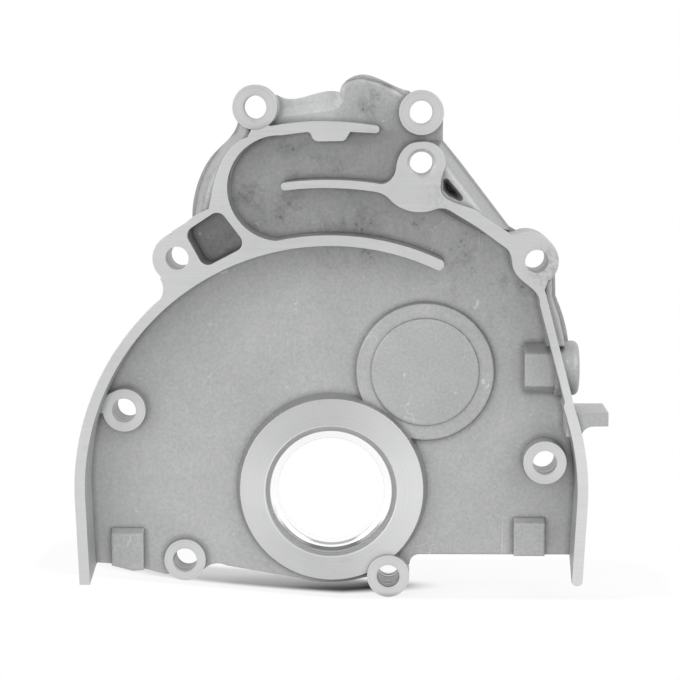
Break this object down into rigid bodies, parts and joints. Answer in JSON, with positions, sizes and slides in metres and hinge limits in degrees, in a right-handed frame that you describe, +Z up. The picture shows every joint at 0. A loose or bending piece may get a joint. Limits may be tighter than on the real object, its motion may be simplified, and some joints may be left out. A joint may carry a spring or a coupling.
{
  "type": "transmission cover",
  "caption": "Cast aluminium cover with a D-shaped rimmed cavity, a round shaft seal housing, bolt bosses and ears, and a ribbed labyrinth chamber above.",
  "frame": {"origin": "on the axis of the shaft opening, in the plane of the machined joint face", "axes": "-Y out of the joint face towards the housing that it is bolted to, +Z up towards the labyrinth chamber, +X right seen from the inner side"},
  "size_m": [0.2082, 0.0374, 0.2063],
  "materials": {
    "cast_aluminium": "matte as cast, with bright machined joint, boss and ring faces"
  },
  "bodies": {
    "root": {"cover": "cast_aluminium"}
  },
  "joints": []
}
